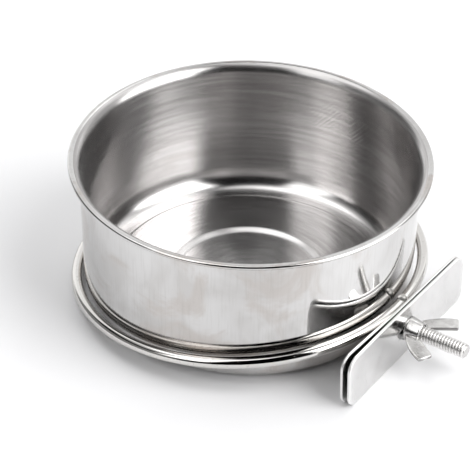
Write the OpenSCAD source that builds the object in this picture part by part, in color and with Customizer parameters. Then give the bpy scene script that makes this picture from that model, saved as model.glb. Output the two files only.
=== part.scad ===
// Seed cup in a clamp-on ring holder, all in stainless steel.
// A drawn cup stands loose inside a ring of round wire. A fixed plate is welded to the
// ring, and a wing nut draws a loose plate towards it on a bolt, to grip a cage bar.
// The cup's axis is Z, and its base stands on z = 0. The clamp is on the +X side.
// The holder also stands on z = 0, on the plate's lower edge and the ring's far side,
// so the ring lies tilted, with its clamp side up.

/* [Cup] */
// Outside diameter of the rim
cup_rim_d = 130; // [110:0.5:160]
// Height of the cup from its base to the top of the rim
cup_h = 55; // [48:0.5:70]
// Distance from the wall, just under the rim, to the rim's outer edge
cup_lip_w = 4; // [3.6:0.1:5]
// Radius that the wall loses from the rim down to the base corner
cup_draft = 0.3; // [0.1:0.1:2]
// Thickness of the cup's sheet
cup_sheet = 0.6; // [0.4:0.1:1]
// Outside radius of the corner between wall and base
cup_corner_r = 9; // [5:0.5:12]
// Outside radius of the bend from the wall into the rim
cup_lip_bend_r = 3.2; // [2:0.1:3.2]
// Radius of the rolled bead on the rim's edge
cup_bead_r = 0.8; // [0.6:0.05:1]

/* [Cup floor] */
// Diameter of the flat disc in the middle of the floor
floor_disc_d = 54; // [40:1:60]
// Width of the sloping step round the disc
floor_step_w = 4; // [2:0.5:6]
// Height of the pressed panel between the two steps
floor_step = 0.8; // [0.3:0.1:1.5]
// Width of the sloping step at the panel's outer edge
floor_edge_w = 1.6; // [1:0.1:3]

/* [Ring] */
// Radial clearance between the cup's wall and the ring's wire
ring_clearance = 0.8; // [0.8:0.1:1.5]
// Distance of the ring's middle from the cup's axis, towards the clamp
ring_shift = 0.3; // [0:0.1:0.7]
// Diameter of the ring's wire
wire_d = 4.2; // [3:0.1:5]
// Width of the seam where the wire's two ends meet
seam_w = 0.8; // [0.4:0.1:1.5]
// Angle of the seam from the bolt, round the ring
seam_turn = 3.8; // [0:0.1:6]
// Radius of the weld lump over the seam
seam_weld_r = 2; // [1.5:0.1:2.1]
// Height of the weld lump's middle over the wire's middle
seam_weld_rise = 1.3; // [1:0.1:2]

/* [Plates] */
// Length of each clamp plate
plate_l = 76.6; // [60:0.2:90]
// Height of each clamp plate
plate_h = 20.2; // [19:0.1:24]
// Thickness of each clamp plate
plate_t = 1; // [0.8:0.1:1.5]
// Radius of the plates' corners
plate_corner_r = 5; // [2:0.5:8]
// Distance of the plates' middle from the bolt, towards their bent ends
plate_offset = 1; // [0:0.1:2]
// Depth of the fixed plate's lower edge under the middle of the wire
plate_drop = 16.4; // [15:0.1:18]
// Angle of the plates' faces from upright
plate_pitch = 2.5; // [1:0.5:5]
// Angle by which one end of the fixed plate is bent back towards the cup
plate_bend = 1.5; // [0:0.5:3]
// Angle by which the same end of the loose plate is bent away from the cup
plate_flare = 1; // [0:0.5:3]
// Distance of those bends from the bolt
plate_bend_y = 6; // [5:0.5:12]
// Gap between the two plates
plate_gap = 0.5; // [0.3:0.05:1]

/* [Welds] */
// Distance between the wire and the fixed plate at the bolt
weld_gap = 0.9; // [0.6:0.1:1.1]
// Radius of the weld beads between wire and plate
bead_r = 1.7; // [1.5:0.1:1.8]
// Length of each weld bead between its round ends
bead_l = 5; // [3:0.5:6]
// Distance of each weld bead's middle from the bolt
bead_y = 10; // [9:0.5:12]

/* [Bolt] */
// Height of the bolt over the plates' lower edge
bolt_up = 10; // [9.5:0.1:10.3]
// Outside diameter of the bolt's thread
bolt_d = 5.7; // [5:0.1:5.8]
// Depth of the thread
thread_depth = 0.6; // [0.4:0.05:0.7]
// Distance from one thread crest to the next
thread_pitch = 1.14; // [0.8:0.01:1.3]
// Length of the bolt beyond the fixed plate
bolt_l = 24.8; // [23:0.1:32]
// Length of the chamfer at the bolt's end
bolt_chamfer = 0.5; // [0.3:0.1:0.8]
// Diameter of the bolt's flat head, behind the fixed plate
head_d = 8; // [7:0.1:8.2]
// Thickness of the bolt's head
head_t = 2; // [1.5:0.1:2.5]
// Radial clearance of the bolt in the loose plate's hole
plate_hole_clearance = 0.4; // [0.3:0.05:0.6]

/* [Wing nut] */
// Diameter of the nut's hub where it meets the plate
hub_d = 9; // [8:0.1:10]
// Diameter of the hub's outer end
hub_end_d = 7.6; // [7:0.1:8]
// Height of the hub
hub_h = 5.6; // [5:0.1:7]
// Distance from the nut's seat to the top of its wings
wing_h = 14.5; // [13:0.1:17]
// Distance between the tips of the two wings
wing_span = 26.8; // [22:0.1:30]
// Thickness of the wings
wing_t = 1.3; // [1:0.1:1.6]
// Width of each wing, across its length
wing_w = 5.3; // [4:0.1:6]
// Angle of the wings from the bolt
wing_lean = 29; // [24:1:32]
// Distance by which the wings' outer edges bow out of the straight
wing_bow = 1.3; // [0:0.1:1.5]
// Radius of the wings' corners
wing_corner_r = 0.8; // [0.5:0.1:1.2]
// Angle by which the nut is turned from level wings
wing_turn = 0; // [-90:1:90]
// Running clearance of the nut on the thread
nut_clearance = 0.06; // [0.02:0.01:0.1]
// Gap between the nut and the loose plate
nut_gap = 0.1; // [0.05:0.05:0.2]

/* [Hidden] */

steel = [0.80, 0.80, 0.79];
dark_steel = [0.68, 0.68, 0.67];
weld_metal = [0.62, 0.61, 0.59];

round_fn = 96;
small_fn = 48;
arc_steps = 10;
// Length by which cutting solids run past the faces that they cut
cut_over = 1;
// Angle from level at which the weld beads' middles lie under their line on the plate
bead_angle = 45;
// Share of the hub's height at which each wing's outer edge leaves it
wing_heel_share = 0.1;

wire_r = wire_d / 2;
bolt_r = bolt_d / 2;
rim_r = cup_rim_d / 2;
wall_r = rim_r - cup_lip_w;
base_wall_r = wall_r - cup_draft;
// The ring's radius and diameter are measured to the middle of its wire
ring_r = wall_r + ring_clearance + wire_r;
ring_d = 2 * ring_r;
floor_disc_r = floor_disc_d / 2;

// How far the bend takes the fixed plate's lower edge back where its corner begins
plate_arm = plate_l / 2 + plate_offset - plate_bend_y;
foot_back = (plate_arm - plate_corner_r) * tan(plate_bend);

// The ring's tilt, at which the plate's lower edge and the wire's far side both touch z = 0
plate_foot = plate_drop * cos(plate_pitch) + foot_back * sin(plate_pitch);
plate_stand_off = wire_r + weld_gap;
holder_tilt = asin((plate_foot - wire_r - plate_stand_off * sin(plate_pitch)) / ring_d);
ring_z = ring_r * sin(holder_tilt) + wire_r;

// The point on the fixed plate's inner face that is nearest to the wire
seat_x = ring_shift + ring_r * cos(holder_tilt) + plate_stand_off * cos(plate_pitch);
seat_z = ring_z + ring_r * sin(holder_tilt) + plate_stand_off * sin(plate_pitch);
bolt_z = bolt_up - plate_drop;

// Places along the bolt, from the fixed plate's inner face
loose_x = plate_t + plate_gap;
nut_x = loose_x + plate_t + nut_gap;
bolt_end_x = plate_t + bolt_l;

function arc(x, y, r, from, to) =
    [for (i = [0:arc_steps]) [x + r * cos(from + (to - from) * i / arc_steps),
                              y + r * sin(from + (to - from) * i / arc_steps)]];

// Places its children in the ring's frame, with the ring's middle at the origin
module in_ring() {
    translate([ring_shift, 0, ring_z])
        rotate([0, -holder_tilt, 0])
            children();
}

// Places its children in the plates' frame: X out of the plates, Z up their faces
module on_plate() {
    translate([seat_x, 0, seat_z])
        rotate([0, -plate_pitch, 0])
            children();
}

// Places its children on the bolt's axis, which becomes their Z
module on_bolt(x) {
    on_plate()
        translate([x, 0, bolt_z])
            rotate([0, 90, 0])
                children();
}

// The cup's section. The floor keeps the sheet's thickness over its steps, and the bend's
// underside ends where the rim's bead hides it.
module cup_section() {
    panel_r = base_wall_r - cup_corner_r - floor_edge_w;
    inner_corner_r = cup_corner_r - cup_sheet;
    lip_z = cup_h - cup_sheet - cup_lip_bend_r;
    inner_bend_r = cup_lip_bend_r + cup_sheet;
    bead_left = rim_r - 2 * cup_bead_r;
    hidden_turn = asin(max(0, wall_r + cup_lip_bend_r - bead_left) / cup_lip_bend_r);
    outside = concat(
        [[0, 0], [floor_disc_r, 0], [floor_disc_r + floor_step_w, floor_step],
         [panel_r, floor_step]],
        arc(base_wall_r - cup_corner_r, cup_corner_r, cup_corner_r, -90, 0),
        arc(wall_r + cup_lip_bend_r, lip_z, cup_lip_bend_r, 180, 90 + hidden_turn),
        arc(rim_r - cup_bead_r, cup_h - cup_bead_r, cup_bead_r, -180, 90));
    inside = concat(
        arc(wall_r + cup_lip_bend_r, lip_z, inner_bend_r, 90, 180),
        arc(base_wall_r - cup_corner_r, cup_corner_r, inner_corner_r, 0, -90),
        [[panel_r, floor_step + cup_sheet],
         [floor_disc_r + floor_step_w, floor_step + cup_sheet], [floor_disc_r, cup_sheet],
         [0, cup_sheet]]);
    polygon(concat(outside, inside));
}

module cup() {
    color(steel)
        rotate_extrude($fn = round_fn)
            cup_section();
}

// The ring is one length of wire, bent round until its ends meet at the clamp
module holder_ring() {
    seam_angle = 2 * asin(seam_w / ring_d);
    color(steel)
        in_ring()
            rotate([0, 0, seam_turn + seam_angle / 2])
                rotate_extrude(angle = 360 - seam_angle, $fn = round_fn)
                    translate([ring_r, 0])
                        circle(wire_r, $fn = small_fn);
}

// A weld fills the seam between the wire's ends and stands up over it as a lump
module seam_weld() {
    seam_angle = 2 * asin(seam_w / ring_d);
    color(weld_metal)
        in_ring()
            rotate([0, 0, seam_turn])
                difference() {
                    union() {
                        translate([ring_r, 0, seam_weld_rise])
                            sphere(seam_weld_r, $fn = small_fn);
                        rotate([0, 0, -seam_angle / 2])
                            rotate_extrude(angle = seam_angle, $fn = round_fn)
                                translate([ring_r, 0])
                                    circle(wire_r, $fn = small_fn);
                    }
                    rotate([0, 0, seam_angle / 2])
                        rotate_extrude(angle = 360 - seam_angle, $fn = round_fn)
                            translate([ring_r, 0])
                                circle(wire_r, $fn = small_fn);
                }
}

// Two beads lie in the groove under the wire, against the fixed plate
module plate_welds() {
    color(weld_metal)
        on_plate()
            for (side = [-1, 1])
                translate([-bead_r * cos(bead_angle), side * bead_y, -wire_r])
                    rotate([90, 0, side * asin(bead_y / ring_r) / 2]) {
                        cylinder(h = bead_l, r = bead_r, center = true, $fn = small_fn);
                        for (end = [-1, 1])
                            translate([0, 0, end * bead_l / 2])
                                sphere(bead_r, $fn = small_fn);
                    }
}

// Outline of a plate as a solid that stands across X, with its lower edge at z = 0
module plate_block(depth) {
    half = plate_l / 2 - plate_corner_r;
    translate([-depth / 2, -plate_offset, 0])
        rotate([90, 0, 90])
            linear_extrude(depth)
                union() {
                    for (y = [-half, half])
                        for (z = [plate_corner_r, plate_h - plate_corner_r])
                            translate([y, z])
                                circle(plate_corner_r, $fn = small_fn);
                    translate([-half, 0])
                        square([2 * half, plate_h]);
                    translate([-plate_l / 2, plate_corner_r])
                        square([plate_l, plate_h - 2 * plate_corner_r]);
                }
}

// A plate seen from above as a strip from x on, with one end bent, cut to the plates' outline,
// with a hole for the bolt
module plate(x, bend, hole_r) {
    moved = plate_arm * tan(bend);
    bent_y = -plate_bend_y - plate_arm;
    straight_y = bent_y + plate_l;
    difference() {
        intersection() {
            translate([x, 0, -plate_drop])
                linear_extrude(plate_h)
                    polygon([[0, straight_y], [0, -plate_bend_y], [moved, bent_y],
                             [plate_t + moved, bent_y], [plate_t, -plate_bend_y],
                             [plate_t, straight_y]]);
            translate([0, 0, -plate_drop])
                plate_block(plate_l);
        }
        translate([x - cut_over, 0, bolt_z])
            rotate([0, 90, 0])
                cylinder(h = plate_t + 2 * cut_over, r = hole_r, $fn = small_fn);
    }
}

// The fixed plate is bent back towards the cup
module fixed_plate() {
    color(steel)
        on_plate()
            plate(0, -plate_bend, bolt_r);
}

// The bolt's flat head is welded behind the fixed plate, and its thread starts at the plate.
// The thread is drawn as rings of the same pitch.
module clamp_bolt() {
    turns = floor((bolt_l - bolt_chamfer) / thread_pitch);
    root_r = bolt_r - thread_depth;
    thread = [for (i = [0:turns - 1])
                  each [[bolt_r, plate_t + i * thread_pitch],
                        [root_r, plate_t + i * thread_pitch + thread_pitch / 2]]];
    crest_end = plate_t + turns * thread_pitch;
    color(dark_steel)
        on_bolt(0)
            rotate_extrude($fn = small_fn)
                polygon(concat([[0, -head_t], [head_d / 2, -head_t], [head_d / 2, 0], [bolt_r, 0]],
                               thread,
                               [[bolt_r, crest_end], [root_r, bolt_end_x], [0, bolt_end_x]]));
}

// The loose plate slides on the bolt, and is bent the other way
module loose_plate() {
    color(steel)
        on_plate()
            plate(loose_x, plate_flare, bolt_r + plate_hole_clearance);
}

// Outline of the right-hand wing: it leaves the hub, then leans away from the bolt
module wing_outline() {
    corner = [for (across = [-1, 1])
                  [wing_span / 2 - wing_corner_r
                       - (1 - across) / 2 * (wing_w - 2 * wing_corner_r) * cos(wing_lean),
                   wing_h - wing_corner_r
                       - (1 + across) / 2 * (wing_w - 2 * wing_corner_r) * sin(wing_lean)]];
    for (c = corner)
        translate(c)
            circle(wing_corner_r, $fn = small_fn);
    along = [sin(wing_lean), cos(wing_lean)] * wing_corner_r;
    across = [cos(wing_lean), -sin(wing_lean)] * wing_corner_r;
    root_r = hub_end_d / 2;
    heel = [hub_d / 2, hub_h * wing_heel_share];
    tip = corner[1] + across;
    out = [tip[1] - heel[1], heel[0] - tip[0]] / norm(tip - heel);
    bowed = [for (i = [0:arc_steps])
                 heel + (tip - heel) * i / arc_steps
                      + out * wing_bow * 4 * i * (arc_steps - i) / pow(arc_steps, 2)];
    polygon(concat([corner[0] + along, corner[1] + along], [for (i = [arc_steps:-1:0]) bowed[i]],
                   [[bolt_r, heel[1]], [bolt_r, hub_h], [root_r, hub_h],
                    corner[0] - across]));
}

// The wing nut, with its two wings in one plane through the bolt
module wing_nut() {
    color(dark_steel)
        on_bolt(nut_x)
            rotate([0, 0, 90 + wing_turn])
                difference() {
                    union() {
                        cylinder(h = hub_h, d1 = hub_d, d2 = hub_end_d, $fn = small_fn);
                        for (side = [0, 180])
                            rotate([90, 0, side])
                                translate([0, 0, -wing_t / 2])
                                    linear_extrude(wing_t)
                                        wing_outline();
                    }
                    translate([0, 0, -cut_over])
                        cylinder(h = wing_h + 2 * cut_over, r = bolt_r + nut_clearance,
                                 $fn = small_fn);
                }
}

cup();
holder_ring();
seam_weld();
plate_welds();
fixed_plate();
clamp_bolt();
loose_plate();
wing_nut();
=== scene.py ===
import math

import bpy
import numpy as np
from mathutils import Matrix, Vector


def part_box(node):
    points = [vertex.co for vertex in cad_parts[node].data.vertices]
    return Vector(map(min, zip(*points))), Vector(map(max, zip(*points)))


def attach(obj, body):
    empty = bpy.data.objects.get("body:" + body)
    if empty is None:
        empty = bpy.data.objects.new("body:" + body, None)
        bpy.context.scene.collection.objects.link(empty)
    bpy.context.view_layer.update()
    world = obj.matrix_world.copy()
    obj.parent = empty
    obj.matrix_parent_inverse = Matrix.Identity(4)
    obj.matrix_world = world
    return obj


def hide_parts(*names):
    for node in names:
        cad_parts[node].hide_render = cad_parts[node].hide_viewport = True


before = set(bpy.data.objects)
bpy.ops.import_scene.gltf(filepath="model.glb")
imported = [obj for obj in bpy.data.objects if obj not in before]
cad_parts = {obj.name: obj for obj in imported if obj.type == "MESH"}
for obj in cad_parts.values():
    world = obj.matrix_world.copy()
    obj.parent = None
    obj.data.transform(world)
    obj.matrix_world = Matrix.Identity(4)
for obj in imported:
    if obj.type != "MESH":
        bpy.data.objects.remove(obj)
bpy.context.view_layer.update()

# The cup: one disc of stainless sheet, drawn to a straight wall and spun, so its finish runs in
# circles. The rim is folded outwards and rolled under, and the floor is pressed in steps.
# Lengths are in millimetres until a mesh is made.
MM = 0.001
cup_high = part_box("cup")[1]
RIM_R = cup_high.x / MM
CUP_H = cup_high.z / MM
LIP_W = 4.0
WALL_R = RIM_R - LIP_W
DRAFT = 0.3
SHEET = 0.6
CORNER_R = 9.0
LIP_BEND_R = 3.2
LIP_BEND_ROWS = 19
POLISHED_BEND_ROWS = 5
RIM_BEAD_R = 0.8
RIM_BEAD_ROWS = 28
FLOOR_DISC_R = 27.0
FLOOR_STEP_W = 4.0
FLOOR_STEP = 0.8
FLOOR_DISC_EDGE = 0.6
FLOOR_PANEL_EDGE = 0.7
FLOOR_EDGE_W = 1.6
FLOOR_RIDGE = 0.12
FLOOR_RIDGE_FROM = 0.8
FLOOR_RIDGE_TO = 2.8
AROUND = 288


def arc(x, y, r, start, end, steps):
    """Points on a circle round (x, y), from one angle to another in degrees, both ends included."""
    angle = np.radians(np.linspace(start, end, steps))
    return np.stack([x + r * np.cos(angle), y + r * np.sin(angle)], -1)


def straight(start, end, steps):
    """Evenly spaced points on the straight line between two points, without its two ends."""
    share = np.linspace(0, 1, steps + 2)[1:-1, None]
    return (1 - share) * np.array(start, float) + share * np.array(end, float)


def eased(start, end, steps):
    """A step between two levels: radius runs evenly, height follows half a cosine wave."""
    share = np.linspace(0, 1, steps)
    rise = (1 - np.cos(np.pi * share)) / 2
    return np.stack([start[0] + (end[0] - start[0]) * share,
                     start[1] + (end[1] - start[1]) * rise], -1)


def cup_profile():
    """The sheet's section from the middle of the inner floor, up and over the rim, and back to
    the middle of the base: level discs, eased steps, circular bends and straight walls."""
    base_r = WALL_R - DRAFT
    corner_x = base_r - CORNER_R
    panel_r = corner_x - FLOOR_EDGE_W
    step_r = FLOOR_DISC_R + FLOOR_STEP_W
    lip_z = CUP_H - SHEET - LIP_BEND_R
    bend_x = WALL_R + LIP_BEND_R
    inner_r = CORNER_R - SHEET
    hidden_turn = math.degrees(math.asin((bend_x - RIM_R + 2 * RIM_BEAD_R) / LIP_BEND_R))
    disc_r = FLOOR_DISC_R - FLOOR_DISC_EDGE
    ridge_r = step_r + FLOOR_RIDGE_TO

    def floor(z):
        panel, ridge = z + FLOOR_STEP, z + FLOOR_STEP + FLOOR_RIDGE
        return np.concatenate([
            [[0.0, z]],
            straight((0, z), (disc_r, z), 24),
            eased((disc_r, z), (step_r - FLOOR_PANEL_EDGE, ridge), 16),
            eased((step_r + FLOOR_RIDGE_FROM, ridge), (ridge_r, panel), 8),
            straight((ridge_r, panel), (panel_r, panel), 18),
            eased((panel_r, panel), (corner_x, z), 8)[:-1]])

    inside = np.concatenate([
        floor(SHEET),
        arc(corner_x, CORNER_R, inner_r, -90, 0, 24),
        straight((corner_x + inner_r, CORNER_R), (WALL_R - SHEET, lip_z), 30),
        arc(bend_x, lip_z, LIP_BEND_R + SHEET, 180, 90, LIP_BEND_ROWS + 1)[:-1],
        arc(RIM_R - RIM_BEAD_R, CUP_H - RIM_BEAD_R, RIM_BEAD_R, 90, -180, RIM_BEAD_ROWS)])
    outside = np.concatenate([
        arc(bend_x, lip_z, LIP_BEND_R, 90 + hidden_turn, 180, 12),
        straight((WALL_R, lip_z), (base_r, CORNER_R), 30),
        arc(corner_x, CORNER_R, CORNER_R, 0, -90, 24),
        floor(0.0)[::-1]])
    return inside, outside


def mesh_piece(name, points, faces, uv=None):
    """A smooth mesh object at the origin from points in millimetres, with an optional UV for each.
    Faces are turned outwards if centre times normal times area sums to a negative volume."""
    mesh = bpy.data.meshes.new(name)
    mesh.from_pydata((points * MM).tolist(), [], faces)
    mesh.polygons.foreach_set("use_smooth", np.ones(len(mesh.polygons), bool))
    sizes = {}
    for key, width in (("center", 3), ("normal", 3), ("area", 1)):
        sizes[key] = np.zeros(len(mesh.polygons) * width, np.float32)
        mesh.polygons.foreach_get(key, sizes[key])
    outward = (sizes["center"] * sizes["normal"]).reshape(-1, 3).sum(1) @ sizes["area"]
    if outward < 0:
        mesh.flip_normals()
    if uv is not None:
        corner = np.zeros(len(mesh.loops), np.int32)
        mesh.loops.foreach_get("vertex_index", corner)
        mesh.uv_layers.new(name="UVMap").data.foreach_set("uv", uv[corner].astype(np.float32).ravel())
    mesh.update()
    piece = bpy.data.objects.new(name, mesh)
    bpy.context.scene.collection.objects.link(piece)
    return piece


def tube_faces(rows, around):
    """Faces of a tube of point rings between two pole points, which come first and last."""
    here = np.arange(around)
    there = (here + 1) % around
    row = 1 + np.arange(rows - 1)[:, None] * around
    last = 1 + (rows - 1) * around
    quads = np.stack([row + here, row + there, row + around + there, row + around + here], -1)
    start = np.stack([np.zeros(around, int), 1 + there, 1 + here], -1)
    end = np.stack([np.full(around, last + around), last + here, last + there], -1)
    return start.tolist() + quads.reshape(-1, 4).tolist() + end.tolist()


def turned(name, profile):
    """A solid of revolution about Z: each profile point (radius, height) goes round in a ring.
    Points on the axis become single poles. V of the UV is the length along the profile."""
    length = np.concatenate([[0], np.cumsum(np.hypot(*np.diff(profile, axis=0).T))])
    rings = profile[1:-1]
    angle = np.linspace(0, 2 * np.pi, AROUND, endpoint=False)
    x = rings[:, None, 0] * np.cos(angle)
    y = rings[:, None, 0] * np.sin(angle)
    z = np.broadcast_to(rings[:, None, 1], x.shape)
    points = np.concatenate([
        [[0, 0, profile[0, 1]]],
        np.stack([x, y, z], -1).reshape(-1, 3),
        [[0, 0, profile[-1, 1]]]])
    share = np.broadcast_to(angle / (2 * np.pi), x.shape)
    along = np.broadcast_to(length[1:-1, None], x.shape)
    uv = np.concatenate([[[0, 0]], np.stack([share, along * MM], -1).reshape(-1, 2),
                         [[0, length[-1] * MM]]])
    return mesh_piece(name, points, tube_faces(len(rings), AROUND), uv)


def add(tree, kind, sockets=None, **settings):
    """Adds a node to a tree, sets its settings, and links or sets each input that is given."""
    made = tree.nodes.new(kind)
    for key, value in settings.items():
        setattr(made, key, value)
    for key, value in (sockets or {}).items():
        if isinstance(value, bpy.types.NodeSocket):
            tree.links.new(value, made.inputs[key])
        else:
            made.inputs[key].default_value = value
    return made


def maths(tree, operation, *values):
    """One Math node on the given sockets or numbers. Gives its output."""
    return add(tree, "ShaderNodeMath", dict(enumerate(values)), operation=operation).outputs[0]


def ramp(tree, value, low, high, to_low=0.0, to_high=1.0):
    """A Map Range node that eases a value from one range to another. Gives its output."""
    sockets = {"Value": value, "From Min": low, "From Max": high, "To Min": to_low, "To Max": to_high}
    return add(tree, "ShaderNodeMapRange", sockets, interpolation_type="SMOOTHSTEP").outputs[0]


def noise(tree, where, scale, detail=2.0, **more):
    """A Noise Texture node at a place. Gives its value."""
    sockets = {"Vector": where, "Scale": scale, "Detail": detail, **more}
    return add(tree, "ShaderNodeTexNoise", sockets).outputs[0]


def mixed(tree, factor, a, b, blend="MIX"):
    """A colour between two colours by a factor. Gives the colour socket."""
    sockets = {"Factor": factor, "A": a, "B": b}
    return add(tree, "ShaderNodeMix", sockets, data_type="RGBA", blend_type=blend).outputs["Result"]


def group(name, inputs, outputs):
    """An empty node group with named float or vector inputs and outputs."""
    tree = bpy.data.node_groups.new(name, "ShaderNodeTree")
    for key, (kind, value) in inputs.items():
        socket = tree.interface.new_socket(key, in_out="INPUT", socket_type="NodeSocket" + kind)
        socket.default_value = value
    for key, kind in outputs.items():
        tree.interface.new_socket(key, in_out="OUTPUT", socket_type="NodeSocket" + kind)
    return tree, tree.nodes.new("NodeGroupInput").outputs, tree.nodes.new("NodeGroupOutput")


def finished(tree, output, values):
    """Links a group's results to its output node."""
    for key, value in values.items():
        tree.links.new(value, output.inputs[key])


def make_spun_lines():
    """Fine lines that run in full circles about Z, and softer streaks that fade in and out
    on their way round."""
    tree, given, output = group(
        "spun lines", {"Along": ("Float", 0.0), "Lines": ("Float", 1.0), "Drift": ("Float", 1.0)},
        {"Height": "Float", "Streaks": "Float"})
    where = add(tree, "ShaderNodeTexCoord").outputs["Object"]
    flat = add(tree, "ShaderNodeVectorMath", {0: where, 1: (1.0, 1.0, 0.0)}, operation="MULTIPLY")
    around = add(tree, "ShaderNodeVectorMath", {0: flat.outputs[0]}, operation="NORMALIZE")
    turn = add(tree, "ShaderNodeVectorMath", {0: around.outputs[0], "Scale": given["Drift"]},
               operation="SCALE")
    part = add(tree, "ShaderNodeSeparateXYZ", {0: turn.outputs[0]}).outputs
    height = maths(tree, "MULTIPLY", given["Along"], given["Lines"])
    fine = add(tree, "ShaderNodeTexNoise", {"W": height, "Scale": 1.0, "Detail": 4.0,
                                           "Roughness": 0.6}, noise_dimensions="1D").outputs[0]
    slow = maths(tree, "MULTIPLY", height, 0.7)
    place = add(tree, "ShaderNodeCombineXYZ", {0: part[0], 1: part[1], 2: slow}).outputs[0]
    streaks = noise(tree, place, 1.0, 3.0)
    finished(tree, output, {"Height": maths(tree, "ADD", fine, maths(tree, "MULTIPLY", streaks, 0.4)),
                            "Streaks": streaks})
    return tree


def make_smudges():
    """Soft blotches as from handling, and a few thin wipe marks."""
    tree, given, output = group(
        "smudges", {"Size": ("Float", 60.0)}, {"Blotches": "Float", "Wipes": "Float"})
    where = add(tree, "ShaderNodeTexCoord").outputs["Object"]
    blotches = noise(tree, where, given["Size"], 3.0, Distortion=0.6)
    long_way = add(tree, "ShaderNodeMapping", {"Vector": where, "Rotation": (0.3, 0.5, 0.9),
                                              "Scale": (1.0, 1.0, 9.0)}).outputs[0]
    wipes = noise(tree, long_way, maths(tree, "MULTIPLY", given["Size"], 4.0))
    finished(tree, output, {"Blotches": blotches, "Wipes": ramp(tree, wipes, 0.58, 0.72)})
    return tree


def make_chatter():
    """Fine marks across the spinning lines, where the tool trembled: a sine wave of a slanted sum
    of angle and height. They fade out away from the middle of their patch and below the rim."""
    tree, given, output = group(
        "chatter", {"Middle": ("Vector", (0.0, 0.0, 0.0)), "Reach": ("Float", 0.03),
                    "Count": ("Float", 100.0), "Slant": ("Float", 0.0)}, {"Marks": "Float"})
    where = add(tree, "ShaderNodeTexCoord").outputs["Object"]
    part = add(tree, "ShaderNodeSeparateXYZ", {0: where}).outputs
    angle = maths(tree, "ARCTAN2", part[1], part[0])
    slanted = maths(tree, "MULTIPLY_ADD", part[2], given["Slant"],
                    maths(tree, "MULTIPLY", angle, given["Count"]))
    uneven = noise(tree, where, 90.0)
    wave = maths(tree, "SINE", maths(tree, "MULTIPLY_ADD", uneven, 5.0, slanted))
    away = add(tree, "ShaderNodeVectorMath", {0: where, 1: given["Middle"]}, operation="DISTANCE")
    reach = maths(tree, "DIVIDE", away.outputs["Value"], given["Reach"])
    near = maths(tree, "MULTIPLY", ramp(tree, reach, 0.3, 1.0, 1.0, 0.0),
                 ramp(tree, part[2], 0.047, 0.051, 1.0, 0.0))
    broken = maths(tree, "MULTIPLY", near, ramp(tree, uneven, 0.35, 0.6))
    finished(tree, output, {"Marks": maths(tree, "MULTIPLY", wave, broken)})
    return tree


SPUN_LINES = make_spun_lines()
SMUDGES = make_smudges()
CHATTER = make_chatter()


def new_steel(name, anisotropy=0.0):
    """A metal material with a Principled shader, whose highlight is drawn out along Z if it is
    anisotropic. Gives the material, its tree and the shader."""
    made = bpy.data.materials.new(name)
    made.use_nodes = True
    tree = made.node_tree
    shader = tree.nodes["Principled BSDF"]
    shader.inputs["Metallic"].default_value = 1.0
    if anisotropy:
        shader.inputs["Anisotropic"].default_value = anisotropy
        shader.inputs["Anisotropic Rotation"].default_value = 0.25
        tangent = add(tree, "ShaderNodeTangent", direction_type="RADIAL", axis="Z")
        tree.links.new(tangent.outputs[0], shader.inputs["Tangent"])
    return made, tree, shader


def colour_between(tree, value, dark, light):
    """A colour that runs from dark to light with a value. Gives the colour socket."""
    return mixed(tree, value, (*dark, 1), (*light, 1))


def finish_steel(tree, shader, colour, rough, height, distance):
    """Links the colour and roughness to the shader, and a relief to its normal through a Bump
    node: the height, which runs over about 0 to 1, times the distance in metres."""
    tree.links.new(colour, shader.inputs["Base Color"])
    tree.links.new(rough, shader.inputs["Roughness"])
    made = add(tree, "ShaderNodeBump", {"Height": height, "Distance": distance, "Strength": 1.0})
    tree.links.new(made.outputs[0], shader.inputs["Normal"])


def make_spun_inside():
    """The cup's inside: satin from spinning, with circular lines and one patch of chatter marks.
    The wall is painted darker towards the top as painted shade, where less light falls, and the floor's
    middle and the wall are a little rougher than the panel between them."""
    made, tree, shader = new_steel("spun_inside", anisotropy=0.97)
    given = add(tree, "ShaderNodeTexCoord").outputs
    where = given["Object"]
    along = add(tree, "ShaderNodeSeparateXYZ", {0: given["UV"]}).outputs[1]
    spun = add(tree, "ShaderNodeGroup", {"Along": along, "Lines": 1000.0, "Drift": 2.0},
               node_tree=SPUN_LINES).outputs
    smudge = add(tree, "ShaderNodeGroup", {"Size": 35.0}, node_tree=SMUDGES).outputs
    patch = {"Middle": (0.003, 0.060, 0.043), "Reach": 0.024, "Count": 200.0, "Slant": 3000.0}
    chatter = add(tree, "ShaderNodeGroup", patch, node_tree=CHATTER).outputs
    tone = maths(tree, "MULTIPLY_ADD", chatter["Marks"], 0.8, ramp(tree, spun["Streaks"], 0.3, 0.7))
    height = add(tree, "ShaderNodeSeparateXYZ", {0: where}).outputs[2]
    flat = add(tree, "ShaderNodeVectorMath", {0: where, 1: (1.0, 1.0, 0.0)}, operation="MULTIPLY")
    radius = add(tree, "ShaderNodeVectorMath", {0: flat.outputs[0]}, operation="LENGTH")
    bright = colour_between(tree, tone, (0.56, 0.545, 0.54), (0.67, 0.66, 0.655))
    shaded_upper_wall = colour_between(tree, tone, (0.41, 0.40, 0.395), (0.53, 0.52, 0.515))
    # Painted shade: the upper wall's colour is darkened towards the rim, where less light falls.
    colour = mixed(tree, ramp(tree, height, 0.028, 0.047, 0.0, 0.75), bright, shaded_upper_wall)
    rough = ramp(tree, height, 0.003, 0.014, 0.15, 0.23)
    rough = maths(tree, "MULTIPLY_ADD", spun["Streaks"], 0.02, rough)
    rough = maths(tree, "ADD", rough, ramp(tree, radius.outputs["Value"], 0.025, 0.031, 0.035, 0.0))
    rough = maths(tree, "ADD", rough, ramp(tree, smudge["Blotches"], 0.4, 0.7, 0.0, 0.03))
    relief = maths(tree, "MULTIPLY_ADD", chatter["Marks"], 2.8, spun["Height"])
    finish_steel(tree, shader, colour, rough, relief, 0.0000015)
    return made


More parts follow.
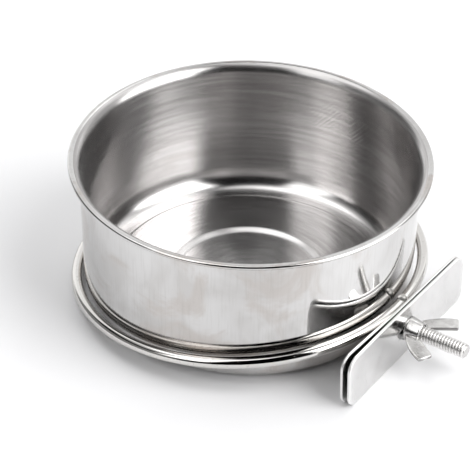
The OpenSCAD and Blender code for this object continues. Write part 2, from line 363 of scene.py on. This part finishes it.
def make_drawn_outside():
    """The cup's outside: polished by drawing, with fine upright lines, faint brown smudges
    and cloudy finger marks."""
    made, tree, shader = new_steel("drawn_outside", anisotropy=0.3)
    where = add(tree, "ShaderNodeTexCoord").outputs["Object"]
    smudge = add(tree, "ShaderNodeGroup", {"Size": 45.0}, node_tree=SMUDGES).outputs
    upright = add(tree, "ShaderNodeMapping", {"Vector": where, "Scale": (1.0, 1.0, 0.06)}).outputs[0]
    lines = noise(tree, upright, 1400.0)
    patches = noise(tree, where, 38.0, 4.0, Roughness=0.6, Distortion=1.0)
    clean = colour_between(tree, ramp(tree, smudge["Blotches"], 0.35, 0.7),
                           (0.65, 0.645, 0.64), (0.54, 0.53, 0.52))
    brown = mixed(tree, ramp(tree, patches, 0.48, 0.62, 0.0, 0.7), clean, (0.52, 0.485, 0.46, 1))
    lined = colour_between(tree, ramp(tree, lines, 0.45, 0.75, 0.0, 0.3), (1, 1, 1), (0.78, 0.77, 0.76))
    rough = ramp(tree, patches, 0.4, 0.7, 0.05, 0.13)
    rough = maths(tree, "MULTIPLY_ADD", smudge["Wipes"], 0.06, rough)
    finish_steel(tree, shader, mixed(tree, 1.0, brown, lined, "MULTIPLY"), rough,
                 maths(tree, "ADD", lines, patches), 0.000006)
    return made


inside, outside = cup_profile()
cup = turned("cup_sheet", np.concatenate([inside, outside]))
cup.data.materials.append(make_spun_inside())
cup.data.materials.append(make_drawn_outside())
face_rows = np.concatenate([np.zeros(AROUND, int),
                            np.repeat(np.arange(len(inside) + len(outside) - 3), AROUND),
                            np.full(AROUND, len(inside) + len(outside))])
rim_row = len(inside) - RIM_BEAD_ROWS - POLISHED_BEND_ROWS
cup.data.polygons.foreach_set("material_index", (face_rows >= rim_row).astype(np.int32))
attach(cup, "cup")
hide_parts("cup")


# The ring: one length of bright drawn wire, bent round to a circle that the cup drops into.
# Its far side and the fixed plate's lower edge stand on the table, so it lies tilted.
ring_low, ring_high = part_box("holder_ring")
WIRE_R = 2.1
WIRE_END = 0.93
CUP_GAP = 0.8
RING_R = WALL_R + CUP_GAP + WIRE_R
RING_SHIFT = 0.3
SEAM_W = 0.8
SEAM_TURN = math.radians(3.8)
TILT = math.asin((ring_high.z - ring_low.z - 2 * WIRE_R * MM) / (2 * RING_R * MM))
RING_Z = RING_R * math.sin(TILT) + WIRE_R


def in_ring(points):
    """Turns points from the ring's own level frame to the part's: tilted about Y and raised."""
    x, y, z = points[..., 0], points[..., 1], points[..., 2]
    c, s = math.cos(TILT), math.sin(TILT)
    return np.stack([RING_SHIFT + x * c - z * s, y, RING_Z + x * s + z * c], -1)


def closed_tube(name, rows):
    """A tube from an array of rings of points, each row one ring. Its ends close on a middle
    point each. U of the UV runs along the tube, and V round it."""
    count, around = rows.shape[:2]
    points = np.concatenate([rows[0].mean(0)[None], rows.reshape(-1, 3), rows[-1].mean(0)[None]])
    u = np.repeat(np.linspace(0, 1, count), around)
    v = np.tile(np.arange(around) / around, count)
    uv = np.concatenate([[[0, 0]], np.stack([u, v], -1), [[1, 0]]])
    return mesh_piece(name, points, tube_faces(count, around), uv)


def ring_wire(name):
    """A circle of the wire's radius carried round the ring from one side of the seam to the
    other. Its first and last rings shrink to a small round, as cut and dressed wire does."""
    half_seam = math.asin(SEAM_W / 2 / RING_R)
    turn = SEAM_TURN + np.linspace(half_seam, 2 * np.pi - half_seam, 361)
    radius = np.full(len(turn), WIRE_R)
    radius[[0, -1]] = WIRE_R * WIRE_END
    section = np.linspace(0, 2 * np.pi, 40, endpoint=False)
    out = RING_R + radius[:, None] * np.cos(section)
    rows = np.stack([out * np.cos(turn)[:, None], out * np.sin(turn)[:, None],
                     radius[:, None] * np.sin(section)], -1)
    return closed_tube(name, in_ring(rows))


def make_bright_wire():
    """Drawn wire, nearly a mirror, with long draw lines and small nicks."""
    made, tree, shader = new_steel("bright_wire")
    where = add(tree, "ShaderNodeTexCoord").outputs
    lengthways = add(tree, "ShaderNodeMapping", {"Vector": where["UV"], "Scale": (60.0, 26.0, 1.0)})
    lines = noise(tree, lengthways.outputs[0], 1.0)
    nick = ramp(tree, noise(tree, where["Object"], 900.0), 0.62, 0.72)
    colour = colour_between(tree, nick, (0.70, 0.685, 0.665), (0.60, 0.585, 0.56))
    rough = maths(tree, "MULTIPLY_ADD", nick, 0.12, ramp(tree, lines, 0.35, 0.65, 0.05, 0.09))
    finish_steel(tree, shader, colour, rough, maths(tree, "MULTIPLY_ADD", nick, -0.7, lines), 0.00001)
    return made


ring = ring_wire("ring_wire")
ring.data.materials.append(make_bright_wire())
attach(ring, "holder")
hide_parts("holder_ring")


# The seam weld: the ring's two ends meet at the clamp and are joined by a spot of weld, which
# fills the seam and stands up over the wire as a dull, rippled lump.
SEAM_WELD_R = 2.0
SEAM_WELD_RISE = 1.3
SEAM_RIPPLE = 0.07
SEAM_FILL = 0.97


def rippled_lump(centre, ball_r):
    """A ball whose radius swells and dips a little with the sum of three sine waves of its two
    angles. The poles lie on Z."""
    polar = np.linspace(0.02, np.pi - 0.02, 36)[:, None]
    angle = np.linspace(0, 2 * np.pi, 48, endpoint=False)[None]
    wave = (np.sin(3 * angle + 2 * polar) + np.sin(7 * polar - 2 * angle + 1)
            + 0.6 * np.sin(9 * angle + 5 * polar + 2)) / 2.6
    radius = 1 - SEAM_RIPPLE + SEAM_RIPPLE * wave * np.sin(polar)
    ball = np.stack([radius * np.sin(polar) * np.cos(angle), radius * np.sin(polar) * np.sin(angle),
                     radius * np.cos(polar) * np.ones_like(angle)], -1)
    return np.array(centre) + ball * ball_r


def make_weld_metal():
    """Weld metal as left by the torch: duller than the wire, finely pitted, in uneven greys."""
    made, tree, shader = new_steel("weld_metal")
    where = add(tree, "ShaderNodeTexCoord").outputs["Object"]
    pits = noise(tree, where, 1500.0, 3.0)
    tint = ramp(tree, noise(tree, where, 300.0, 1.0), 0.4, 0.65)
    colour = colour_between(tree, tint, (0.46, 0.45, 0.43), (0.66, 0.65, 0.635))
    finish_steel(tree, shader, colour, ramp(tree, pits, 0.3, 0.7, 0.30, 0.52), pits, 0.0003)
    return made


WELD_METAL = make_weld_metal()
lump_middle = (RING_R * math.cos(SEAM_TURN), RING_R * math.sin(SEAM_TURN), SEAM_WELD_RISE)
lump = rippled_lump(lump_middle, SEAM_WELD_R)
seam_turn = SEAM_TURN + np.linspace(-SEAM_W / 2 / RING_R, SEAM_W / 2 / RING_R, 6)[:, None]
seam_section = np.linspace(0, 2 * np.pi, 40, endpoint=False)[None]
plug_r = SEAM_FILL * WIRE_R
plug_out = RING_R + plug_r * np.cos(seam_section)
plug = np.stack([plug_out * np.cos(seam_turn), plug_out * np.sin(seam_turn),
                 plug_r * np.sin(seam_section) * np.ones_like(seam_turn)], -1)
seam_lump = closed_tube("seam_lump", in_ring(lump[::-1]))
seam_plug = closed_tube("seam_plug", in_ring(plug))
for piece in (seam_lump, seam_plug):
    piece.data.materials.append(WELD_METAL)
    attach(piece, "holder")
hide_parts("seam_weld")


# The clamp plates: two strips of sheet with round corners, tumbled after blanking, so their
# edges are soft. At one end they are bent apart a little, the fixed one back by its welds.
loose_low, loose_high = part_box("loose_plate")
PLATE_L = (loose_high.y - loose_low.y) / MM
PLATE_H = 20.2
PLATE_T = 1.0
PLATE_CORNER_R = 5.0
PLATE_EDGE_R = 0.3
PLATE_OFFSET = 1.0
PLATE_DROP = 16.4
PLATE_PITCH = math.radians(2.5)
FIXED_BEND = math.radians(-1.5)
LOOSE_BEND = math.radians(1)
PLATE_BEND_Y = 6.0
PLATE_BEND_EASE = 1.0
PLATE_GAP = 0.5
WELD_GAP = 0.9
BOLT_UP = 10.0
BOLT_R = 2.85
FIXED_CLEARANCE = 0.02
LOOSE_CLEARANCE = 0.4
SEAT_X = RING_SHIFT + RING_R * math.cos(TILT) + (WIRE_R + WELD_GAP) * math.cos(PLATE_PITCH)
SEAT_Z = RING_Z + RING_R * math.sin(TILT) + (WIRE_R + WELD_GAP) * math.sin(PLATE_PITCH)
BOLT_Z = BOLT_UP - PLATE_DROP


def on_plate(points):
    """Turns points from the plates' frame (X out of their faces, Z up them) to the part's."""
    x, y, z = points[..., 0], points[..., 1], points[..., 2]
    c, s = math.cos(PLATE_PITCH), math.sin(PLATE_PITCH)
    return np.stack([SEAT_X + x * c - z * s, y, SEAT_Z + x * s + z * c], -1)


def plate_surface(hole_r, back_at, bend):
    """A blanked plate as a ring-shaped grid. Going round, the outline is a rectangle with round
    corners seen from the hole's middle. Going across, it runs from the hole over one face,
    round the soft edge and back over the other face. Past a line, X moves by the tangent of the
    bend times the distance, eased in as a hyperbola."""
    corner_y = PLATE_L / 2 - PLATE_CORNER_R
    corner_z = PLATE_H / 2 - PLATE_CORNER_R
    middle_z = PLATE_H / 2 - PLATE_DROP
    quarter = np.linspace(0, 90, 16)
    outline, inward = [], []
    for turn, (sy, sz) in zip((0, 90, 180, 270), ((1, 1), (-1, 1), (-1, -1), (1, -1))):
        angle = np.radians(quarter + turn)
        way = np.stack([np.cos(angle), np.sin(angle)], -1)
        corner = np.array([sy * corner_y - PLATE_OFFSET, middle_z + sz * corner_z])
        outline.append(corner + PLATE_CORNER_R * way)
        inward.append(way)
    outline, inward = np.concatenate(outline), np.concatenate(inward)
    apart = np.hypot(*(np.roll(outline, -1, axis=0) - outline).T)
    parts = np.where(apart > 2 * PLATE_CORNER_R * np.pi / 30, np.ceil(apart / 2.0), 1).astype(int)
    places = np.concatenate([i + np.arange(n) / n for i, n in enumerate(parts)])
    index, share = places.astype(int), (places % 1)[:, None]
    after = (index + 1) % len(outline)
    outline = outline[index] * (1 - share) + outline[after] * share
    inward = inward[index] * (1 - share) + inward[after] * share
    angle = np.arctan2(outline[:, 1] - BOLT_Z, outline[:, 0])
    hole = np.stack([hole_r * np.cos(angle), BOLT_Z + hole_r * np.sin(angle)], -1)
    face_end = outline - inward * PLATE_EDGE_R
    rows = [(hole * (1 - share) + face_end * share, 0.0)
            for share in np.linspace(0, 1, 12)[:-1] ** 0.8]
    for turn in np.radians(np.linspace(0, 90, 5)):
        pulled, depth = PLATE_EDGE_R * (1 - math.sin(turn)), PLATE_EDGE_R * (1 - math.cos(turn))
        rows.append((outline - inward * pulled, depth))
    front = [np.column_stack([np.full(len(p), PLATE_T - d), p]) for p, d in rows]
    back = [np.column_stack([np.full(len(p), d), p]) for p, d in rows[::-1]]
    grid = np.stack(front + back)
    past = np.clip(-PLATE_BEND_Y - grid[..., 1], 0, None)
    bent = np.hypot(past, PLATE_BEND_EASE) - PLATE_BEND_EASE
    grid[..., 0] += bent * math.tan(bend) + back_at
    return grid


def closed_ring(name, grid):
    """A surface that closes both ways, like a ring: rows of points, each row a closed loop."""
    rows, around = grid.shape[:2]
    here = np.arange(around)
    there = (here + 1) % around
    row = np.arange(rows)[:, None] * around
    after = (np.arange(rows)[:, None] + 1) % rows * around
    quads = np.stack([row + here, after + here, after + there, row + there], -1)
    v, u = np.meshgrid(np.linspace(0, 1, rows), np.linspace(0, 1, around), indexing="ij")
    return mesh_piece(name, grid.reshape(-1, 3), quads.reshape(-1, 4).tolist(),
                      np.stack([u, v], -1).reshape(-1, 2))


def make_tumbled_plate():
    """Tumbled sheet: bright, with short fine scratches every way and a faint cloud. The soft edge
    is rougher and painted paler, a painted highlight where it catches the light, and lies where the UV
    map's way across is near a half."""
    made, tree, shader = new_steel("tumbled_plate")
    given = add(tree, "ShaderNodeTexCoord").outputs
    where = given["Object"]
    one = add(tree, "ShaderNodeMapping", {"Vector": where, "Rotation": (0.6, 0.0, 0.0),
                                         "Scale": (1.0, 14.0, 1.0)}).outputs[0]
    two = add(tree, "ShaderNodeMapping", {"Vector": where, "Rotation": (-0.8, 0.0, 0.0),
                                         "Scale": (1.0, 11.0, 1.0)}).outputs[0]
    scratch = maths(tree, "MAXIMUM", ramp(tree, noise(tree, one, 260.0), 0.62, 0.74),
                    ramp(tree, noise(tree, two, 300.0), 0.64, 0.76))
    cloud = noise(tree, where, 80.0, 3.0)
    across = add(tree, "ShaderNodeSeparateXYZ", {0: given["UV"]}).outputs[1]
    off_edge = maths(tree, "ABSOLUTE", maths(tree, "SUBTRACT", across, 0.5))
    edge = ramp(tree, off_edge, 0.12, 0.18, 1.0, 0.0)
    face = colour_between(tree, ramp(tree, cloud, 0.35, 0.65), (0.72, 0.715, 0.71), (0.66, 0.655, 0.65))
    rough = maths(tree, "MULTIPLY_ADD", scratch, 0.15, ramp(tree, cloud, 0.35, 0.65, 0.14, 0.22))
    rough = maths(tree, "MULTIPLY_ADD", edge, 0.25, rough)
    # Painted highlight: the soft edge's colour is paler where it catches the light; its extra roughness
    # is real.
    finish_steel(tree, shader, mixed(tree, edge, face, (0.84, 0.835, 0.83, 1)), rough,
                 maths(tree, "SUBTRACT", cloud, scratch), 0.000012)
    return made


TUMBLED_PLATE = make_tumbled_plate()
fixed_plate = closed_ring("fixed_clamp_plate", on_plate(
    plate_surface(BOLT_R + FIXED_CLEARANCE, 0.0, FIXED_BEND)))
loose_plate = closed_ring("loose_clamp_plate", on_plate(
    plate_surface(BOLT_R + LOOSE_CLEARANCE, PLATE_T + PLATE_GAP, LOOSE_BEND)))
for piece, body, node in ((fixed_plate, "holder", "fixed_plate"),
                          (loose_plate, "loose_plate", "loose_plate")):
    piece.data.materials.append(TUMBLED_PLATE)
    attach(piece, body)
    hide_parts(node)


# The plate welds: two short beads in the groove between the wire's underside and the fixed
# plate's back, laid by the torch in overlapping ripples.
BEAD_R = 1.7
BEAD_L = 5.0
BEAD_Y = 10.0
BEAD_RIPPLE_L = 0.9
BEAD_RIPPLE = 0.05


def weld_bead(name, side):
    """A bead along the groove: a circle whose radius ripples along its length and closes
    roundly at both ends."""
    along = np.linspace(-1, 1, 49)
    reach = BEAD_L / 2 + BEAD_R
    distance = along * reach
    past = np.clip(np.abs(distance) - BEAD_L / 2, 0, None) / BEAD_R
    radius = BEAD_R * np.sqrt(np.clip(1 - past ** 2, 0.0004, 1))
    radius = radius * (1 - BEAD_RIPPLE * (1 + np.sin(distance * 2 * np.pi / BEAD_RIPPLE_L)) / 2)
    turn = side * math.asin(BEAD_Y / RING_R) / 2
    section = np.linspace(0, 2 * np.pi, 28, endpoint=False)
    back = BEAD_R * math.cos(math.pi / 4) + distance[:, None] * math.sin(turn)
    x = radius[:, None] * np.cos(section) - back
    y = side * BEAD_Y + distance[:, None] * math.cos(turn) + 0 * section
    z = -WIRE_R + radius[:, None] * np.sin(section)
    rows = np.stack([x, y, z], -1)
    return closed_tube(name, on_plate(rows[:, ::-1]))


beads = [weld_bead("plate_bead_left", -1), weld_bead("plate_bead_right", 1)]
for piece in beads:
    piece.data.materials.append(WELD_METAL)
    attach(piece, "holder")
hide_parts("plate_welds")


# The bolt: its flat head is welded behind the fixed plate. The thread is rolled, right-handed,
# and starts at the plate. Its end is chamfered.
THREAD_PITCH = 1.14
THREAD_DEPTH = 0.6
BOLT_L = 24.8
BOLT_CHAMFER = 0.5
THREAD_RUNOUT = 0.8
TIP_INSET = 0.15
HEAD_R = 4.0
HEAD_T = 2.0


def on_bolt(points):
    """Turns points from the bolt's frame (Z along it from the fixed plate's back) to the part's."""
    x, y, z = points[..., 0], points[..., 1], points[..., 2]
    return on_plate(np.stack([z, x, BOLT_Z + y], -1))


def bolt_surface():
    """Radius over angle and length. On the thread it is the root plus the depth times a
    rounded triangle wave of length over pitch less the share of the turn, so the crest winds
    as a right-hand helix. The wave fades at the plate and under the end's chamfer."""
    around = np.linspace(0, 2 * np.pi, 56, endpoint=False)[None]
    end = PLATE_T + BOLT_L
    length = np.linspace(0, end, 440)[:, None]
    phase = (length / THREAD_PITCH - around / (2 * np.pi)) % 1
    ridge = np.clip(1.25 - 2.6 * np.abs(phase - 0.5), 0, 1)
    ridge = ridge * ridge * (3 - 2 * ridge)
    start = np.clip((length - PLATE_T * 0.6) / THREAD_RUNOUT, 0, 1)
    root = BOLT_R - THREAD_DEPTH
    radius = root + THREAD_DEPTH * ridge * start
    radius = np.minimum(radius, BOLT_R - (1 - start) * THREAD_DEPTH)
    chamfer = root - TIP_INSET + (end - length) / BOLT_CHAMFER * THREAD_DEPTH
    radius = np.minimum(radius, chamfer)
    ring = np.stack([radius * np.cos(around), radius * np.sin(around), length + 0 * around], -1)
    cap_r = np.linspace(root - 0.25, 0.05, 4)[:, None]
    cap = np.stack([cap_r * np.cos(around), cap_r * np.sin(around),
                    end + 0 * cap_r * around], -1)
    head = [(0.05, -HEAD_T), (HEAD_R - 0.5, -HEAD_T), (HEAD_R - 0.15, -HEAD_T + 0.15),
            (HEAD_R, -HEAD_T + 0.5), (HEAD_R, -0.3), (HEAD_R - 0.1, -0.02), (HEAD_R - 0.5, 0.0),
            (root + 0.2, 0.0)]
    head_r, head_z = np.array(head).T[:, :, None]
    head = np.stack([head_r * np.cos(around), head_r * np.sin(around), head_z + 0 * around], -1)
    return np.concatenate([head, ring[1:], cap])


def make_rolled_thread():
    """Rolled thread: painted light on the crests and painted shade in the roots, with the crests varied
    a little by a cloud. The distance from the bolt's axis is the length of the cross product of the
    axis and the way from a point on it."""
    made, tree, shader = new_steel("rolled_thread")
    where = add(tree, "ShaderNodeTexCoord").outputs["Object"]
    grain = noise(tree, where, 1800.0)
    cloud = noise(tree, where, 250.0)
    start, end = on_bolt(np.array([[0.0, 0.0, 0.0], [0.0, 0.0, 1.0]]))
    from_start = add(tree, "ShaderNodeVectorMath", {0: where, 1: (start * MM).tolist()},
                     operation="SUBTRACT")
    across = add(tree, "ShaderNodeVectorMath", {0: from_start.outputs[0], 1: (end - start).tolist()},
                 operation="CROSS_PRODUCT")
    distance = add(tree, "ShaderNodeVectorMath", {0: across.outputs[0]}, operation="LENGTH")
    # Painted light and shade: the crests are coloured lighter and the roots between them darker, as
    # light falls on the thread.
    crest = ramp(tree, distance.outputs["Value"], (BOLT_R - 0.85 * THREAD_DEPTH) * MM,
                 (BOLT_R - 0.2 * THREAD_DEPTH) * MM)
    lit_crest_uneven = maths(tree, "MULTIPLY", crest, ramp(tree, cloud, 0.35, 0.65, 1.0, 0.85))
    finish_steel(tree, shader, colour_between(tree, lit_crest_uneven, (0.60, 0.59, 0.58), (0.84, 0.83, 0.82)),
                 ramp(tree, grain, 0.3, 0.7, 0.24, 0.38), grain, 0.00001)
    return made


bolt = closed_tube("threaded_bolt", on_bolt(bolt_surface()))
bolt.data.materials.append(make_rolled_thread())
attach(bolt, "holder")
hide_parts("clamp_bolt")


# The wing nut: a cast hub, tapped through, with two flat wings that lean away from the plate.
# Its faces are tumbled bright, and the wings' narrow edges are painted dark as painted shade.
HUB_R = 4.5
HUB_END_R = 3.8
HUB_H = 5.6
HUB_FOOT_EDGE = 0.3
HUB_END_EDGE = 0.6
BORE_EDGE = 0.4
WING_H = 14.5
WING_SPAN = 26.8
WING_T = 1.3
WING_W = 5.3
WING_LEAN = math.radians(29)
WING_BOW = 1.3
WING_CORNER_R = 0.8
WING_SUNK = 0.9
NUT_GAP = 0.1
NUT_X = PLATE_T + PLATE_GAP + PLATE_T + NUT_GAP
NUT_BORE_R = BOLT_R + 0.06


def hub_surface():
    """The hub turned about the bolt: up the tapered outside, over a rounded end, down the
    tapped bore with its two countersinks. Rows go round, so it closes like a ring."""
    outside = np.concatenate([
        [[HUB_R - 0.5, 0.0]],
        arc(HUB_R - HUB_FOOT_EDGE, HUB_FOOT_EDGE, HUB_FOOT_EDGE, -90, 0, 5),
        straight((HUB_R, HUB_FOOT_EDGE), (HUB_END_R, HUB_H - HUB_END_EDGE), 10),
        arc(HUB_END_R - HUB_END_EDGE, HUB_H - HUB_END_EDGE, HUB_END_EDGE, 0, 90, 8),
        [[NUT_BORE_R + 0.5, HUB_H]],
        arc(NUT_BORE_R + BORE_EDGE, HUB_H - BORE_EDGE, BORE_EDGE, 90, 180, 5),
        straight((NUT_BORE_R, HUB_H - BORE_EDGE), (NUT_BORE_R, HUB_FOOT_EDGE), 10),
        [[NUT_BORE_R + HUB_FOOT_EDGE, 0.0]]])
    around = np.linspace(0, 2 * np.pi, 72, endpoint=False)
    r, z = outside[:, 0, None], outside[:, 1, None]
    return np.stack([r * np.cos(around), r * np.sin(around), z + 0 * around], -1)


def wing_surface(side):
    """A flat wing between two edge lines that run from the hub to the tip: the inner one
    straight, the outer one bowed out as a parabola. Each row across is a rounded rectangle, a
    circle whose cosine and sine are raised to a quarter power. The last rows narrow, so that
    the tip's corners are round."""
    share = np.concatenate([np.linspace(0, 0.86, 36), 1 - 0.14 * np.linspace(1, 0, 26)[1:] ** 2])
    lean = np.array([math.cos(WING_LEAN), -math.sin(WING_LEAN)])
    tip_middle = np.array([WING_SPAN / 2, WING_H]) - np.array(
        [(WING_W / 2 - WING_CORNER_R) * lean[0] + WING_CORNER_R,
         WING_CORNER_R - (WING_W / 2 - WING_CORNER_R) * lean[1]])
    tip_middle = tip_middle + np.array([-lean[1], lean[0]]) * WING_CORNER_R
    heel = np.array([HUB_R - WING_SUNK, HUB_H * 0.1])
    root = np.array([HUB_END_R - WING_SUNK, HUB_H - 0.3])
    outer_tip, inner_tip = tip_middle + lean * WING_W / 2, tip_middle - lean * WING_W / 2
    s = share[:, None]
    chord = (outer_tip - heel) / np.hypot(*(outer_tip - heel))
    outer = heel + (outer_tip - heel) * s + np.array([chord[1], -chord[0]]) * WING_BOW * 4 * s * (1 - s)
    inner = root + (inner_tip - root) * s
    near_tip = np.clip((share - 0.93) / 0.07, 0, 1)
    narrow = np.maximum((1 - near_tip ** 3.5) ** 0.3, 0.02)[:, None]
    middle, half = (outer + inner) / 2, (outer - inner) / 2 * narrow
    half_t = np.maximum(WING_T / 2 * (1 - near_tip ** 9) ** 0.25, 0.02)[:, None]
    section = np.linspace(0, 2 * np.pi, 44, endpoint=False)
    wide = np.sign(np.cos(section)) * np.abs(np.cos(section)) ** 0.25
    thick = np.sign(np.sin(section)) * np.abs(np.sin(section)) ** 0.25
    x = side * (middle[:, :1] + half[:, :1] * wide)
    z = middle[:, 1:] + half[:, 1:] * wide
    return np.stack([x, half_t * thick * side, z], -1)


def make_cast_nut(name, edges=0.0):
    """Cast and tumbled: satin, with a fine grain. The wings' narrow edges are painted dark as painted
    shade, which lies where the UV map's way across is near 0, a half or 1."""
    made, tree, shader = new_steel(name)
    given = add(tree, "ShaderNodeTexCoord").outputs
    where = given["Object"]
    grain = noise(tree, where, 1300.0, 3.0)
    cloud = noise(tree, where, 260.0)
    clean = colour_between(tree, ramp(tree, cloud, 0.35, 0.65),
                           (0.72, 0.715, 0.705), (0.60, 0.59, 0.58))
    across = add(tree, "ShaderNodeSeparateXYZ", {0: given["UV"]}).outputs[1]
    # Painted shade: the wings' narrow edges are darkened by colour, as if they were in shade.
    dark = ramp(tree, maths(tree, "PINGPONG", across, 0.25), 0.075, 0.11, edges, 0.0)
    finish_steel(tree, shader, mixed(tree, dark, clean, (0.22, 0.215, 0.21, 1)),
                 ramp(tree, grain, 0.3, 0.7, 0.15, 0.24),
                 maths(tree, "MULTIPLY_ADD", cloud, 2.0, grain), 0.00001)
    return made


along_bolt = np.array([0, 0, NUT_X])
hub = closed_ring("wing_nut_hub", on_bolt(hub_surface()[::-1] + along_bolt))
wings = [closed_tube(name, on_bolt(wing_surface(side)[:, ::-1] + along_bolt))
         for name, side in (("wing_far", 1), ("wing_near", -1))]
# The wings get painted shade on their narrow edges; the hub gets none.
WING_SHADED_EDGES = make_cast_nut("cast_wing", edges=0.85)
for piece, nut_material in ((hub, make_cast_nut("cast_nut")), (wings[0], WING_SHADED_EDGES), (wings[1], WING_SHADED_EDGES)):
    piece.data.materials.append(nut_material)
    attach(piece, "wing_nut")
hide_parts("wing_nut")


# The studio: a pale floor, a world whose light comes from soft boxes set by direction, and a
# camera at the photograph's viewing angle. Its distances are in metres.
VIEW_AZIMUTH = math.radians(34.81)
VIEW_ELEVATION = math.radians(34.33)
VIEW_DISTANCE = 0.650
AIM_PITCH = math.radians(-2.507)
AIM_YAW = math.radians(-0.4354)
AIM_ROLL = math.radians(1.348)
SENSOR = 36.0
LENS = 140.15
TABLE_HALF = 3.0


def place_camera():
    """Stands the camera at its distance from the rim's middle, turns it to look there, and
    then pitches, yaws and rolls it by small angles to the photograph's framing."""
    to_camera = np.array([math.sin(VIEW_AZIMUTH) * math.cos(VIEW_ELEVATION),
                          -math.cos(VIEW_AZIMUTH) * math.cos(VIEW_ELEVATION), math.sin(VIEW_ELEVATION)])
    right = np.array([math.cos(VIEW_AZIMUTH), math.sin(VIEW_AZIMUTH), 0])
    ahead = -to_camera
    up = np.cross(right, ahead)
    ahead, up = (ahead * math.cos(AIM_PITCH) + up * math.sin(AIM_PITCH),
                 up * math.cos(AIM_PITCH) - ahead * math.sin(AIM_PITCH))
    ahead, right = (ahead * math.cos(AIM_YAW) + right * math.sin(AIM_YAW),
                    right * math.cos(AIM_YAW) - ahead * math.sin(AIM_YAW))
    right, up = (right * math.cos(AIM_ROLL) + up * math.sin(AIM_ROLL),
                 up * math.cos(AIM_ROLL) - right * math.sin(AIM_ROLL))
    place = to_camera * VIEW_DISTANCE + np.array([0, 0, CUP_H * MM])
    lens = bpy.data.cameras.new("camera")
    lens.sensor_width = SENSOR
    lens.lens = LENS
    lens.clip_start = 0.01
    made = bpy.data.objects.new("camera", lens)
    bpy.context.scene.collection.objects.link(made)
    columns = np.eye(4)
    columns[:3, 0], columns[:3, 1], columns[:3, 2], columns[:3, 3] = right, up, -ahead, place
    made.matrix_world = Matrix(columns.tolist())
    bpy.context.scene.camera = made


place_camera()


def make_floor():
    """A pale table, drawn as one large square."""
    corners = np.array([[-1, -1, 0], [1, -1, 0], [1, 1, 0], [-1, 1, 0]]) * TABLE_HALF / MM
    floor = mesh_piece("floor", corners, [[0, 1, 2, 3]])
    made = bpy.data.materials.new("pale_table")
    made.use_nodes = True
    shader = made.node_tree.nodes["Principled BSDF"]
    shader.inputs["Base Color"].default_value = (0.88, 0.88, 0.89, 1)
    shader.inputs["Roughness"].default_value = 0.45
    floor.data.materials.append(made)


make_floor()


def make_surround():
    """Light by direction, as an azimuth from the camera's side and an elevation: a large soft
    box to the right with two weaker ones further round behind it, a narrow one to the left, a
    dim one high on the left, a broad one behind, a faint one low on the left and a round lamp
    nearly overhead. Each is 1 inside its window, eased to 0 over its edge, times its strength.
    The camera itself sees white."""
    world = bpy.data.worlds.new("studio")
    bpy.context.scene.world = world
    world.use_nodes = True
    tree = world.node_tree
    background = tree.nodes["Background"]
    background.inputs["Color"].default_value = (1, 1, 1, 1)
    way = add(tree, "ShaderNodeTexCoord").outputs["Generated"]
    turned_way = add(tree, "ShaderNodeVectorRotate", {"Vector": way, "Angle": -VIEW_AZIMUTH},
                     rotation_type="Z_AXIS").outputs[0]
    part = add(tree, "ShaderNodeSeparateXYZ", {0: turned_way}).outputs
    azimuth = maths(tree, "ARCTAN2", part[0], maths(tree, "MULTIPLY", part[1], -1.0))
    elevation = maths(tree, "ARCSINE", part[2])

    def soft_box(middle, half, low, high, edge, strength):
        """A window in azimuth and elevation with soft edges, in degrees."""
        off = maths(tree, "SUBTRACT", azimuth, math.radians(middle))
        off = maths(tree, "ABSOLUTE", maths(tree, "WRAP", off, math.pi, -math.pi))
        wide = ramp(tree, off, math.radians(half), math.radians(half + edge), 1.0, 0.0)
        tall = maths(tree, "MULTIPLY",
                     ramp(tree, elevation, math.radians(low - edge), math.radians(low)),
                     ramp(tree, elevation, math.radians(high), math.radians(high + edge), 1.0, 0.0))
        return maths(tree, "MULTIPLY", maths(tree, "MULTIPLY", wide, tall), strength)

    def soft_spot(middle, height, half, edge, strength):
        """A round window about one direction with a soft edge, in degrees."""
        turn, up = math.radians(middle), math.radians(height)
        aim = (math.sin(turn) * math.cos(up), -math.cos(turn) * math.cos(up), math.sin(up))
        near = add(tree, "ShaderNodeVectorMath", {0: turned_way, 1: aim}, operation="DOT_PRODUCT")
        return ramp(tree, near.outputs["Value"], math.cos(math.radians(half + edge)),
                    math.cos(math.radians(half)), 0.0, strength)

    total = soft_box(67, 20, 8, 62, 13, 4.5)
    for light in (soft_box(112, 16, 15, 60, 20, 0.7), soft_box(142, 24, 46, 64, 12, 0.8),
                  soft_box(-49, 10, 34, 60, 12, 2.0), soft_box(-105, 40, 52, 90, 16, 0.7),
                  soft_box(180, 40, 4, 46, 12, 1.0), soft_box(-110, 55, -20, 20, 14, 0.25),
                  soft_spot(-120, 76, 16, 11, 1.7)):
        total = maths(tree, "ADD", total, light)
    seen = add(tree, "ShaderNodeLightPath").outputs["Is Camera Ray"]
    strength = add(tree, "ShaderNodeMix", {"Factor": seen, "A": total, "B": 1.0}, data_type="FLOAT")
    tree.links.new(strength.outputs["Result"], background.inputs["Strength"])


make_surround()
bpy.context.scene.view_settings.view_transform = "Standard"
